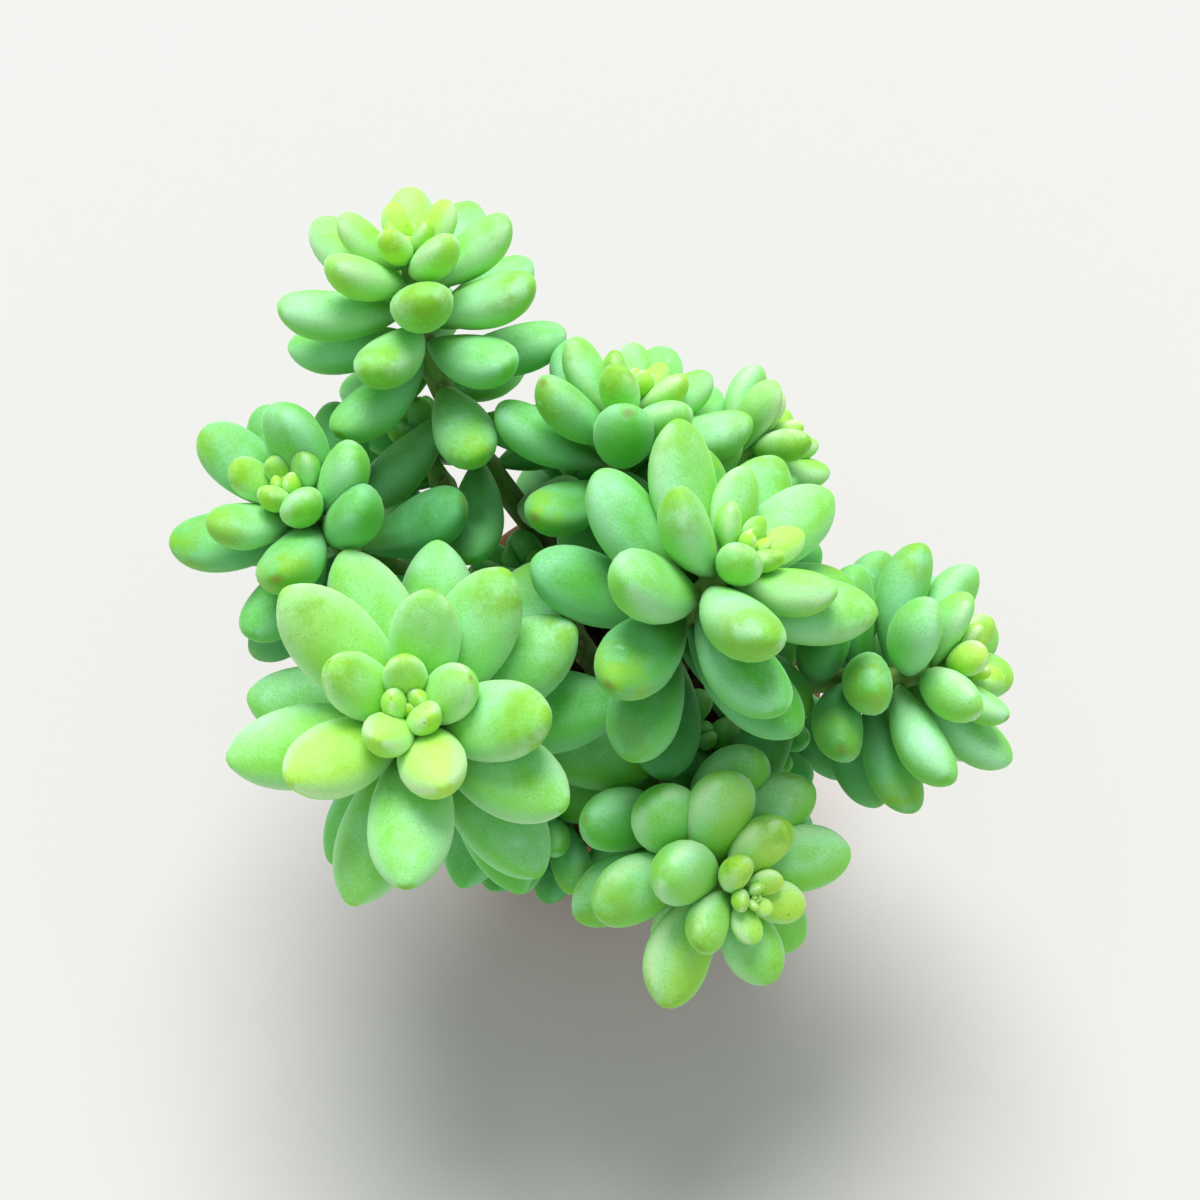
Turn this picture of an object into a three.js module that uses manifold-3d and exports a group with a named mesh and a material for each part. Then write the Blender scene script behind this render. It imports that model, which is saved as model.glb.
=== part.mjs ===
// A burro's tail (Sedum morganianum) in a small clay pot. Millimetres, +Z up.
// The origin is the middle of the pot's foot, on the surface that it stands on.
import * as THREE from "three";
import { mergeVertices } from "three/addons/utils/BufferGeometryUtils.js";
import Module from "manifold-3d";

const wasm = await Module();
wasm.setup();

// Corners closer together than this are one corner.
const WELD = 1e-4;

const POT = {
  height: 46,
  footRadius: 23,
  shoulderRadius: 27.5,
  rimRadius: 29.5,
  rimHeight: 11,
  edge: 1.2,
  wall: 2.6,
  floor: 3.4,
  sides: 40,
};
const DRAIN = { count: 4, radius: 2.8, fromMiddle: 13, past: 1, sides: 12 };

// The potting mix is heaped a little in the middle, and each stem stands in a plain hole in it.
const SOIL = { gap: 0.3, edgeHeight: 39, crownHeight: 42, rings: 4 };
const HOLE = { depth: 9, clearance: 0.35, sides: 12 };

// A stem is stout at the soil, and thin and soft at the growing tip.
const STEM = { radius: 1.8, tipShare: 0.3, softLength: 9, sides: 6, step: 5, rise: 0.35, reach: 0.45 };

// The leaves wind round the stem in one spiral, numbered from the growing tip. They lie closest
// at the tip, fill out over the first grownAt leaves, and lean further out as they age.
const SPIRAL = {
  pitch: 0.7,
  crowdedTo: 20,
  crowding: 0.25,
  thinning: 0.15,
  grownAt: 13,
  budShare: 0.1,
  opening: 0.8,
  mostOpen: 1.25,
};

// A leaf is a plump spindle, widest past its middle, with a narrow root sunk in the stem and a
// blunt point that curls towards the tip of the shoot. Its upper face is flatter than its lower.
const LEAF = {
  halfWidth: 0.25,
  budHalfWidth: 0.31,
  upper: 0.65,
  lower: 0.95,
  rootPower: 0.85,
  pointPower: 0.52,
  curl: 0.12,
  curlStart: 0.35,
  rootDepth: 0.55,
  sunk: 0.2,
};
const LEAF_NET = { sides: 5, rings: 3 };
const BUD_NET = { sides: 4, rings: 3, count: 8 };

// Where shoots crowd each other, a leaf is pushed up towards its own tip by the first of these
// angles that clears its neighbours with some room, and one that none of them clears was rubbed off.
const CROWDING = { bends: [0, 12, 24, 36], room: 1.15 };

// foot is the stem's place on the soil, tip is the growing tip's place, and facing is the way that
// the tip points, as a bearing from +X and a tilt from upright. leaf is a grown leaf's length, lean
// is the angle to the stem of a new leaf and of an old one, and turn is the angle from each leaf to
// the next, with its sign for the hand of the spiral. swell is how late the leaves fill out, and
// broad is how wide they are next to the common leaf.
const SHOOTS = {
  shoot_c: {
    foot: [-10, -9], tip: [-28.5, -27, 93.5], facing: [-53, 9], leaves: 32, leaf: 24.5,
    lean: [6, 90], first: 260, turn: 139.5, swell: 1, broad: 1,
  },
  shoot_d: {
    foot: [8, 2], tip: [15, -8, 102.5], facing: [34, 47], leaves: 32, leaf: 21.5,
    lean: [27, 77], first: 147, turn: -139.9, swell: 1.5, broad: 1,
  },
  shoot_a: {
    foot: [-8, 12], tip: [-30.5, 38, 102], facing: [91, 31], leaves: 36, leaf: 18.5,
    lean: [24, 94], first: 60, turn: 138.6, swell: 0.9, broad: 1,
  },
  shoot_b: {
    foot: [-14, 3], tip: [-46, 6, 91.5], facing: [163, 12], leaves: 34, leaf: 19.5,
    lean: [5, 84], first: 57, turn: 138.4, swell: 1.1, broad: 1,
  },
  shoot_e: {
    foot: [1, 12], tip: [1, 19.5, 93.5], facing: [66, 51], leaves: 32, leaf: 18,
    lean: [28, 83], first: 134, turn: 137.8, swell: 0.8, broad: 1,
  },
  shoot_g: {
    foot: [16, -3], tip: [45.5, -13.5, 78], facing: [10, 68], leaves: 30, leaf: 18.5,
    lean: [35, 79], first: 57, turn: -140.2, swell: 0.9, broad: 1,
  },
  shoot_h: {
    foot: [6, -14], tip: [16.5, -44.5, 70], facing: [-32, 48], leaves: 32, leaf: 18,
    lean: [35, 94], first: 231, turn: -138.5, swell: 1.5, broad: 1.2,
  },
  shoot_f: {
    foot: [11, 13], tip: [19.5, 19.5, 83.5], facing: [35, 76], leaves: 22, leaf: 14.5,
    lean: [35, 80], first: 171, turn: 140.9, swell: 0.6, broad: 1,
  },
  side_shoot_front: {
    foot: [-5, -18], tip: [-14, -29, 56], facing: [-110, 35], leaves: 17, leaf: 15,
    lean: [20, 88], first: 20, turn: 138.5, swell: 0.6, broad: 1,
  },
  side_shoot_right: {
    foot: [16, -12], tip: [20, -17, 58], facing: [-45, 35], leaves: 15, leaf: 13,
    lean: [15, 85], first: 120, turn: -138.5, swell: 0.7, broad: 1,
  },
  side_shoot_back: {
    foot: [2, 20], tip: [13, 28, 62], facing: [60, 42], leaves: 15, leaf: 14,
    lean: [15, 85], first: 200, turn: 138.5, swell: 0.9, broad: 1,
  },
  side_shoot_left: {
    foot: [-18, 9], tip: [-30.5, 25, 73], facing: [125, 30], leaves: 17, leaf: 14,
    lean: [20, 88], first: 300, turn: -138.5, swell: 0.6, broad: 1,
  },
  side_shoot_middle: {
    foot: [-3, -3], tip: [-14, 9, 60], facing: [140, 25], leaves: 15, leaf: 15,
    lean: [20, 88], first: 40, turn: 138.5, swell: 0.6, broad: 1,
  },
  side_shoot_inner: {
    foot: [1, -9], tip: [10, -17, 60], facing: [-60, 30], leaves: 15, leaf: 15,
    lean: [20, 88], first: 80, turn: -138.5, swell: 0.6, broad: 1,
  },
  side_shoot_far: {
    foot: [-5, 19], tip: [-9, 22, 67], facing: [100, 25], leaves: 15, leaf: 14,
    lean: [20, 88], first: 160, turn: 138.5, swell: 0.6, broad: 1,
  },
};

const degrees = (angle) => THREE.MathUtils.degToRad(angle);

function solidOf(geometry) {
  const plain = geometry.clone();
  plain.deleteAttribute("normal");
  plain.deleteAttribute("uv");
  const merged = mergeVertices(plain, WELD);
  return new wasm.Manifold(
    new wasm.Mesh({
      numProp: 3,
      vertProperties: merged.attributes.position.array,
      triVerts: new Uint32Array(merged.index.array),
    }),
  );
}

// The outside of a fused solid, with its loose scraps dropped and its sealed hollows filled.
function outerBody(solid) {
  const bodies = solid.decompose();
  return bodies.reduce((best, body) => (body.volume() > best.volume() ? body : best));
}

function meshOf(name, solid, material) {
  const made = solid.getMesh();
  const geometry = new THREE.BufferGeometry();
  geometry.setAttribute("position", new THREE.BufferAttribute(made.vertProperties, 3));
  geometry.setIndex(new THREE.BufferAttribute(made.triVerts, 1));
  geometry.computeVertexNormals();
  const mesh = new THREE.Mesh(geometry, material);
  mesh.name = name;
  return mesh;
}

// A round body turned from [radius, height] corners that start and end on its axis.
function turned(corners, sides) {
  const profile = corners.map(([radius, height]) => new THREE.Vector2(radius, height));
  return solidOf(new THREE.LatheGeometry(profile, sides).rotateX(Math.PI / 2));
}

// An upright cylinder between two heights.
function upright(x, y, radius, bottom, top, sides) {
  const cylinder = new THREE.CylinderGeometry(radius, radius, top - bottom, sides);
  return solidOf(cylinder.rotateX(Math.PI / 2).translate(x, y, (bottom + top) / 2));
}

// The inside radius of the pot at a height.
function potBore(height) {
  const rimFoot = POT.height - POT.rimHeight;
  const share = Math.min(1, height / rimFoot);
  return POT.footRadius + (POT.shoulderRadius - POT.footRadius) * share - POT.wall;
}

function potSolid() {
  const rimFoot = POT.height - POT.rimHeight;
  const corners = [
    [0, 0],
    [POT.footRadius - POT.edge, 0],
    [POT.footRadius, POT.edge],
    [POT.shoulderRadius, rimFoot],
    [POT.rimRadius, rimFoot + POT.edge],
    [POT.rimRadius, POT.height - POT.edge],
    [POT.rimRadius - POT.edge, POT.height],
    [potBore(POT.height) + POT.edge, POT.height],
    [potBore(POT.height), POT.height - POT.edge],
    [potBore(rimFoot), rimFoot],
    [potBore(POT.floor), POT.floor],
    [0, POT.floor],
  ];
  let pot = turned(corners, POT.sides);
  for (let i = 0; i < DRAIN.count; i++) {
    const bearing = (2 * Math.PI * (i + 0.5)) / DRAIN.count;
    const x = DRAIN.fromMiddle * Math.cos(bearing);
    const y = DRAIN.fromMiddle * Math.sin(bearing);
    const top = POT.floor + DRAIN.past;
    pot = pot.subtract(upright(x, y, DRAIN.radius, -DRAIN.past, top, DRAIN.sides));
  }
  return pot;
}

function soilSolid() {
  const bottom = POT.floor + SOIL.gap;
  const rimFoot = POT.height - POT.rimHeight;
  const corners = [
    [0, bottom],
    [potBore(bottom) - SOIL.gap, bottom],
    [potBore(rimFoot) - SOIL.gap, rimFoot],
  ];
  const edgeRadius = potBore(SOIL.edgeHeight) - SOIL.gap;
  for (let i = 0; i < SOIL.rings; i++) {
    const share = 1 - i / SOIL.rings;
    const heap = (SOIL.crownHeight - SOIL.edgeHeight) * (1 - share ** 2);
    corners.push([edgeRadius * share, SOIL.edgeHeight + heap]);
  }
  corners.push([0, SOIL.crownHeight]);
  let soil = turned(corners, POT.sides);
  for (const { foot } of Object.values(SHOOTS)) {
    const radius = STEM.radius + HOLE.clearance;
    const bottom = SOIL.crownHeight - HOLE.depth;
    soil = soil.subtract(upright(...foot, radius, bottom, POT.height, HOLE.sides));
  }
  return soil;
}

// The stem's middle line, from the soil's crown height at the foot up to the growing tip.
function stemLine(shoot) {
  const [bearing, tilt] = shoot.facing.map(degrees);
  const facing = new THREE.Vector3(
    Math.sin(tilt) * Math.cos(bearing),
    Math.sin(tilt) * Math.sin(bearing),
    Math.cos(tilt),
  );
  const foot = new THREE.Vector3(...shoot.foot, SOIL.crownHeight);
  const tip = new THREE.Vector3(...shoot.tip);
  const span = foot.distanceTo(tip);
  const rise = foot.clone().add(new THREE.Vector3(0, 0, STEM.rise * span));
  const reach = tip.clone().addScaledVector(facing, -STEM.reach * span);
  return new THREE.CubicBezierCurve3(foot, rise, reach, tip);
}

// The place at a distance below the growing tip, with the directions along the stem and across it.
function stemFrame(line, below) {
  const share = 1 - below / line.getLength();
  const along = line.getTangentAt(share);
  const across = new THREE.Vector3(1, 0, 0).addScaledVector(along, -along.x).normalize();
  return { at: line.getPointAt(share), along, across, over: along.clone().cross(across) };
}

function stemRadius(below) {
  return STEM.radius * Math.min(1, STEM.tipShare + ((1 - STEM.tipShare) * below) / STEM.softLength);
}

function stemSolid(line) {
  const length = line.getLength();
  const steps = Math.ceil(length / STEM.step);
  const tube = new THREE.CylinderGeometry(1, 1, 1, STEM.sides, steps);
  const points = tube.attributes.position;
  const point = new THREE.Vector3();
  for (let i = 0; i < points.count; i++) {
    point.fromBufferAttribute(points, i);
    const below = (0.5 - point.y) * length;
    const frame = stemFrame(line, below);
    const radius = stemRadius(below);
    const place = frame.at
      .addScaledVector(frame.across, radius * point.x)
      .addScaledVector(frame.over, -radius * point.z);
    points.setXYZ(i, place.x, place.y, place.z);
  }
  return solidOf(tube);
}

// Leaf number i of a shoot, pushed up by an angle: where it grows from, which way it points and
// how long it is.
function leafOf(shoot, line, i, bend) {
  const crowded = i * (i / SPIRAL.crowdedTo) ** SPIRAL.crowding;
  const thinned = SPIRAL.thinning * Math.max(0, i - SPIRAL.crowdedTo) ** 2;
  const below = SPIRAL.pitch * (crowded + thinned);
  const frame = stemFrame(line, below);
  const filled = Math.min(1, (i + 1) / SPIRAL.grownAt) ** shoot.swell;
  const open = Math.min(SPIRAL.mostOpen, (i / SPIRAL.crowdedTo) ** SPIRAL.opening);
  const lean = degrees(shoot.lean[0] + (shoot.lean[1] - shoot.lean[0]) * open - bend);
  const bearing = degrees(shoot.first + shoot.turn * i);
  const outwards = frame.across
    .multiplyScalar(Math.cos(bearing))
    .addScaledVector(frame.over, Math.sin(bearing));
  const along = frame.along
    .clone()
    .multiplyScalar(Math.cos(lean))
    .addScaledVector(outwards, Math.sin(lean));
  const up = frame.along
    .clone()
    .multiplyScalar(Math.sin(lean))
    .addScaledVector(outwards, -Math.cos(lean));
  const root = frame.at
    .addScaledVector(outwards, stemRadius(below) * LEAF.rootDepth)
    .addScaledVector(along, -LEAF.sunk);
  const grown = shoot.leaf * (SPIRAL.budShare + (1 - SPIRAL.budShare) * filled);
  return {
    root,
    along,
    up,
    side: up.clone().cross(along),
    length: grown + LEAF.sunk,
    halfWidth: shoot.broad * (LEAF.budHalfWidth + (LEAF.halfWidth - LEAF.budHalfWidth) * filled),
  };
}

// The half-width of a leaf at a share of its length, as a share of its greatest half-width.
function leafOutline(share) {
  const widest = LEAF.rootPower / (LEAF.rootPower + LEAF.pointPower);
  const root = (share / widest) ** LEAF.rootPower;
  const point = ((1 - share) / (1 - widest)) ** LEAF.pointPower;
  return root * point;
}

// A sphere's net of rings, drawn out along the leaf from its root to its point.
function leafSolid(leaf, net, fatness = 1) {
  const sphere = new THREE.SphereGeometry(1, net.sides, net.rings);
  const points = sphere.attributes.position;
  const point = new THREE.Vector3();
  for (let i = 0; i < points.count; i++) {
    point.fromBufferAttribute(points, i);
    const share = THREE.MathUtils.clamp((1 - point.y) / 2, 0, 1);
    const fromAxis = Math.hypot(point.x, point.z) || 1;
    const halfWidth = fatness * leaf.halfWidth * leaf.length * leafOutline(share);
    const flank = point.x / fromAxis;
    const face = point.z / fromAxis;
    const lift = LEAF.curl * leaf.length * share * (share - LEAF.curlStart);
    const height = halfWidth * face * (face > 0 ? LEAF.upper : LEAF.lower) + lift;
    const place = leaf.root
      .clone()
      .addScaledVector(leaf.along, share * leaf.length)
      .addScaledVector(leaf.side, halfWidth * flank)
      .addScaledVector(leaf.up, height);
    points.setXYZ(i, place.x, place.y, place.z);
  }
  return solidOf(sphere);
}

// The leaf solid that clears what is already there, or nothing if none of the bends clears it.
function clearLeaf(shoot, line, i, taken) {
  const net = i < BUD_NET.count ? BUD_NET : LEAF_NET;
  for (const bend of CROWDING.bends) {
    const leaf = leafOf(shoot, line, i, bend);
    if (leafSolid(leaf, net, CROWDING.room).intersect(taken).isEmpty()) return leafSolid(leaf, net);
  }
  return null;
}

function bareStem(shoot, line) {
  const sunkTo = SOIL.crownHeight - HOLE.depth + HOLE.clearance;
  const top = SOIL.crownHeight + STEM.radius;
  const sunk = upright(...shoot.foot, STEM.radius, sunkTo, top, STEM.sides);
  return sunk.add(stemSolid(line));
}

// Every shoot's stem with its leaves, each clear of the pot, the soil and the shoots before it.
function shootSolids(holders) {
  const lines = Object.values(SHOOTS).map(stemLine);
  const stems = Object.values(SHOOTS).map((shoot, n) => bareStem(shoot, lines[n]));
  const done = [];
  Object.values(SHOOTS).forEach((shoot, n) => {
    const later = stems.slice(n + 1);
    const taken = wasm.Manifold.union([...holders, ...done, ...later]);
    const leaves = [];
    for (let i = 0; i < shoot.leaves; i++) {
      const leaf = clearLeaf(shoot, lines[n], i, taken);
      if (leaf) leaves.push(leaf);
    }
    done.push(outerBody(wasm.Manifold.union([stems[n], ...leaves])));
  });
  return done;
}

const MATERIALS = {
  clay: new THREE.MeshStandardMaterial({ color: 0xb4633f, roughness: 0.9, metalness: 0 }),
  soil: new THREE.MeshStandardMaterial({ color: 0x2c2019, roughness: 1, metalness: 0 }),
  leaf: new THREE.MeshStandardMaterial({ color: 0x7ccb62, roughness: 0.5, metalness: 0 }),
};

const plant = new THREE.Group();
const pot = potSolid();
const soil = soilSolid();
plant.add(meshOf("pot", pot, MATERIALS.clay));
plant.add(meshOf("soil", soil, MATERIALS.soil));
const names = Object.keys(SHOOTS);
shootSolids([pot, soil]).forEach((shoot, n) => plant.add(meshOf(names[n], shoot, MATERIALS.leaf)));

export default plant;
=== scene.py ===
import bmesh
import bpy
import numpy as np
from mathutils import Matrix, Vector


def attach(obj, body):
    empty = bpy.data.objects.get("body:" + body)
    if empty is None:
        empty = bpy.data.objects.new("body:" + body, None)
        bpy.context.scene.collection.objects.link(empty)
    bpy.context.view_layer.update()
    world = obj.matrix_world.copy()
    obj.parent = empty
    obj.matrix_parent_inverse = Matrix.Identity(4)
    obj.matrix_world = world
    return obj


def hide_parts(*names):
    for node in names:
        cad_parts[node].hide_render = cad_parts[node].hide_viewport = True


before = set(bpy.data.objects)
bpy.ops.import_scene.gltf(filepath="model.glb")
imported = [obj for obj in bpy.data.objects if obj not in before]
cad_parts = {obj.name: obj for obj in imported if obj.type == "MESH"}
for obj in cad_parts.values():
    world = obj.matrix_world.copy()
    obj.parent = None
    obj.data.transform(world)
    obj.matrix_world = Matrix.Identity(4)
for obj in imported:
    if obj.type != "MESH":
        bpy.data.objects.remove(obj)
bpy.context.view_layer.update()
millimetre = 0.001
print("frame loaded:", len(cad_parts), "nodes")


def addObject(name, data):
    made = bpy.data.objects.new(name, data)
    bpy.context.scene.collection.objects.link(made)
    return made


# Camera

cameraView = {
    "elevation": 65, "distance": 324, "target": (-4, -4, 78), "lens": 70, "sensor": 36, "nearest": 10,
}


def makeCamera(view):
    tilt = np.radians(view["elevation"])
    back = Vector((0, -np.cos(tilt), np.sin(tilt)))
    data = bpy.data.cameras.new("view")
    data.lens = view["lens"]
    data.sensor_width = view["sensor"]
    data.clip_start = view["nearest"] * millimetre
    camera = addObject("view", data)
    camera.location = (Vector(view["target"]) + back * view["distance"]) * millimetre
    camera.rotation_euler = (-back).to_track_quat("-Z", "Y").to_euler()
    bpy.context.scene.camera = camera


makeCamera(cameraView)
print("camera placed")

# Mesh helpers


def unit(vectors):
    return vectors / np.linalg.norm(vectors, axis=-1, keepdims=True)


# From 0 at low to 1 at high along s * s * (3 - 2 * s), flat at both ends.
def smoothStep(values, low, high):
    share = np.clip((values - low) / (high - low), 0, 1)
    return share * share * (3 - 2 * share)


def anglesRound(sides):
    return 2 * np.pi * np.arange(sides) / sides


# A mesh object from points in millimetres, with its faces and its named values on the points.
def makeObject(name, points, faces, material=None, values=None, smooth=True):
    mesh = bpy.data.meshes.new(name)
    mesh.from_pydata(np.asarray(points).reshape(-1, 3) * millimetre, [], faces)
    for label, data in (values or {}).items():
        kind, field = ("FLOAT_VECTOR", "vector") if np.ndim(data) > 1 else ("FLOAT", "value")
        attribute = mesh.attributes.new(label, kind, "POINT")
        attribute.data.foreach_set(field, np.asarray(data, np.float32).ravel())
    mesh.update()
    if smooth:
        mesh.shade_smooth()
    if material:
        mesh.materials.append(material)
    return addObject(name, mesh)


# Quads between the rings of a grid of points that closes on itself across.
def ringFaces(rings, sides):
    ring = np.arange(rings - 1)[:, None] * sides
    side = np.arange(sides)[None]
    following = (side + 1) % sides
    nextRing = ring + sides
    corners = np.stack([ring + side, ring + following, nextRing + following, nextRing + side], -1)
    return corners.reshape(-1, 4)


# Triangles from the ring of points that starts at ringStart to a single point, the pole. turned
# makes them go round the other way.
def capFaces(ringStart, sides, pole, turned):
    side = np.arange(sides)
    following = (side + 1) % sides
    order = [following, side] if turned else [side, following]
    return np.stack([ringStart + order[0], ringStart + order[1], np.full(sides, pole)], -1)


# The same faces for each copy of a net, where the copies' points follow each other.
def repeatFaces(faces, copies, pointsEach):
    starts = np.arange(copies)[:, None, None] * pointsEach
    return (faces[None] + starts).reshape(-1, faces.shape[1]).tolist()


# The faces of nets of rings that are closed by two more points each, the first one the pole of the
# first ring and the second one that of the last ring. turned makes them face the other way.
def closedFaces(rings, sides, copies=1, turned=False):
    count = rings * sides
    quads = ringFaces(rings, sides)
    firstCap = capFaces(0, sides, count, not turned)
    lastCap = capFaces(count - sides, sides, count + 1, turned)
    parts = [quads[:, ::-1] if turned else quads, firstCap, lastCap]
    return [face for part in parts for face in repeatFaces(part, copies, count + 2)]


# Material helpers


# A colour written the way a paint chart gives it, turned to the linear light that shaders use.
def paint(code):
    shares = np.array([int(code[i : i + 2], 16) for i in (0, 2, 4)]) / 255
    linear = np.where(shares <= 0.04045, shares / 12.92, ((shares + 0.055) / 1.055) ** 2.4)
    return (*linear.tolist(), 1.0)


# Joins each named socket of a node to where its value comes from, or sets the value on it.
def feed(tree, node, inputs):
    for label, value in inputs.items():
        if isinstance(value, bpy.types.NodeSocket):
            tree.links.new(value, node.inputs[label])
        else:
            node.inputs[label].default_value = value


def addNode(tree, kind, inputs=None, **settings):
    made = tree.nodes.new(kind)
    for label, value in settings.items():
        setattr(made, label, value)
    feed(tree, made, inputs or {})
    return made


def addMath(tree, operation, *values, clamp=False):
    inputs = dict(enumerate(values))
    return addNode(tree, "ShaderNodeMath", inputs, operation=operation, use_clamp=clamp).outputs[0]


# The product of some values.
def multiply(tree, product, *factors):
    for factor in factors:
        product = addMath(tree, "MULTIPLY", product, factor)
    return product


# A smooth step of the value between low and high, given out as going from one share to another.
def addRange(tree, value, low, high, fromShare=0.0, toShare=1.0):
    inputs = {"Value": value, 1: low, 2: high, 3: fromShare, 4: toShare}
    made = addNode(tree, "ShaderNodeMapRange", inputs, interpolation_type="SMOOTHSTEP")
    return made.outputs[0]


def addMix(tree, factor, first, second):
    return addNode(tree, "ShaderNodeMix", {0: factor, 6: first, 7: second}, data_type="RGBA").outputs[2]


def addNoise(tree, vector, scale, detail, roughness=0.5):
    inputs = {"Vector": vector, "Scale": scale, "Detail": detail, "Roughness": roughness}
    return addNode(tree, "ShaderNodeTexNoise", inputs).outputs[0]


def addBump(tree, height, strength, distance, over=None):
    inputs = {"Height": height, "Strength": strength, "Distance": distance}
    if over is not None:
        inputs["Normal"] = over
    return addNode(tree, "ShaderNodeBump", inputs).outputs[0]


# Colours along a value from 0 to 1, each with its place.
def addRamp(tree, value, stops):
    made = addNode(tree, "ShaderNodeValToRGB", {0: value})
    elements = made.color_ramp.elements
    elements[0].position, elements[0].color = stops[0]
    elements[1].position, elements[1].color = stops[-1]
    for position, colour in stops[1:-1]:
        elements.new(position).color = colour
    return made.outputs[0]


# The three values of an attribute, one by one.
def addAttribute(tree, name):
    held = addNode(tree, "ShaderNodeAttribute", attribute_name=name).outputs["Vector"]
    return addNode(tree, "ShaderNodeSeparateXYZ", {0: held}).outputs


# The coordinates stretched along each axis, for streaks and bands.
def addStretch(tree, coordinates, scale):
    return addNode(tree, "ShaderNodeMapping", {"Vector": coordinates, "Scale": scale}).outputs[0]


def addGroup(tree, group, coordinates, settings):
    inputs = {"Vector": coordinates, **settings}
    return addNode(tree, "ShaderNodeGroup", inputs, node_tree=group).outputs[0]


# A material with its tree, its shader and the object's own coordinates for its patterns.
def newMaterial(name):
    material = bpy.data.materials.new(name)
    material.use_nodes = True
    tree = material.node_tree
    tree.nodes.clear()
    shader = tree.nodes.new("ShaderNodeBsdfPrincipled")
    addNode(tree, "ShaderNodeOutputMaterial", {"Surface": shader.outputs[0]})
    coordinates = tree.nodes.new("ShaderNodeTexCoord").outputs["Object"]
    return material, tree, shader, coordinates


# Shared effects


# A group that takes coordinates and some numbers, and gives a mask.
def newGroup(name, numbers):
    group = bpy.data.node_groups.new(name, "ShaderNodeTree")
    sockets = group.interface
    sockets.new_socket("Vector", in_out="INPUT", socket_type="NodeSocketVector")
    for label, value in numbers.items():
        made = sockets.new_socket(label, in_out="INPUT", socket_type="NodeSocketFloat")
        made.default_value = value
    sockets.new_socket("Mask", in_out="OUTPUT", socket_type="NodeSocketFloat")
    return group, group.nodes.new("NodeGroupInput").outputs, group.nodes.new("NodeGroupOutput")


# Broad and fine clouding in one mask: two noises, the fine one a share of the whole.
def makeClouding():
    numbers = {"Broad": 100.0, "Fine": 900.0, "Fine Share": 0.35, "Low": 0.35, "High": 0.65}
    group, entry, leave = newGroup("clouding", numbers)
    broad = addNoise(group, entry["Vector"], entry["Broad"], detail=3.0)
    fine = addNoise(group, entry["Vector"], entry["Fine"], detail=4.0)
    blend = addNode(group, "ShaderNodeMix", {0: entry["Fine Share"], 2: broad, 3: fine}).outputs[0]
    spread = {"Value": blend, 1: entry["Low"], 2: entry["High"]}
    feed(group, leave, {"Mask": addNode(group, "ShaderNodeMapRange", spread).outputs[0]})
    return group


# Scattered round specks: the cells of a cell pattern whose own number is low enough, drawn as
# small dots of uneven size at their centres.
def makeSpecks():
    group, entry, leave = newGroup("specks", {"Scale": 500.0, "Size": 0.12, "Share": 0.1})
    pattern = {"Vector": entry["Vector"], "Scale": entry["Scale"]}
    cells = addNode(group, "ShaderNodeTexVoronoi", pattern).outputs
    number = addNode(group, "ShaderNodeSeparateColor", {"Color": cells["Color"]}).outputs
    chosen = addMath(group, "LESS_THAN", number[0], entry["Share"])
    unevenSize = multiply(group, entry["Size"], number[1])
    dot = addMath(group, "LESS_THAN", cells["Distance"], unevenSize)
    feed(group, leave, {"Mask": multiply(group, chosen, dot)})
    return group


clouding = makeClouding()
specks = makeSpecks()
print("shared effects made")

# Leaf material

# A cloud's values are the inputs of the clouding group, and a depth's are where a noise sets in and
# is whole. Distances are in metres and scales per metre.
leafFinish = {
    "body": (  # from the youngest leaves to the oldest
        (0.05, paint("c6f24a")), (0.3, paint("92e446")), (0.62, paint("62cc3c")), (1.0, paint("2c8a1e")),
    ),
    # the root colours are painted shade deep among the crowded leaves
    "youngRootShade": paint("94de18"),
    "oldRootShade": paint("34800a"),
    "tipPatch": paint("86c41c"),
    "bloom": paint("bdf7de"),
    "oldBloom": paint("7ccf9e"),
    # rim is a painted glow of light through the thin edges of young leaves
    "rim": paint("effcd4"),
    "rubbed": paint("58a824"),
    "scuff": paint("d5f5dc"),
    "speck": paint("3c5a2a"),
    "tipSpot": paint("8a7a34"),
    "toneShift": 0.22,
    "bareShare": 0.22,
    "tipSpotShare": 0.7,
    "scuffShare": 0.35,
    "speckShare": 0.5,
    "roughness": 0.52,
    "waxRoughness": 0.12,  # how much rougher the skin is under whole wax
    "bloomCloud": {"Broad": 170.0, "Fine": 2800.0, "Fine Share": 0.3, "Low": 0.3, "High": 0.7},
    "patchCloud": {"Broad": 300.0, "Fine": 1500.0, "Fine Share": 0.2, "Low": 0.38, "High": 0.64},
    "specks": {"Scale": 420.0, "Size": 0.09, "Share": 0.1},
    "patchDepth": (0.0, 1.0, 0.1, 0.85),
    "scuffNoise": {"scale": 240.0, "detail": 5.0, "roughness": 0.7},
    "scuffDepth": (0.66, 0.72),
    "poreNoise": {"scale": 3900.0, "detail": 2.0},
    "poreDepth": (0.48, 0.72, 0.0, 0.22),
    "dimpleNoise": {"scale": 320.0, "detail": 2.0},
    "grainNoise": {"scale": 4200.0, "detail": 3.0},
    "dimples": {"strength": 0.22, "distance": 0.0006},
    "grain": {"strength": 0.12, "distance": 0.00012},
    "shader": {
        "Subsurface Weight": 0.4,
        "Subsurface Radius": (0.65, 1.0, 0.22),
        "Subsurface Scale": 0.003,
        "Sheen Weight": 0.42,
        "Sheen Roughness": 0.5,
        "Sheen Tint": paint("b8fcb4"),
        "Specular IOR Level": 0.3,
    },
}
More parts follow.
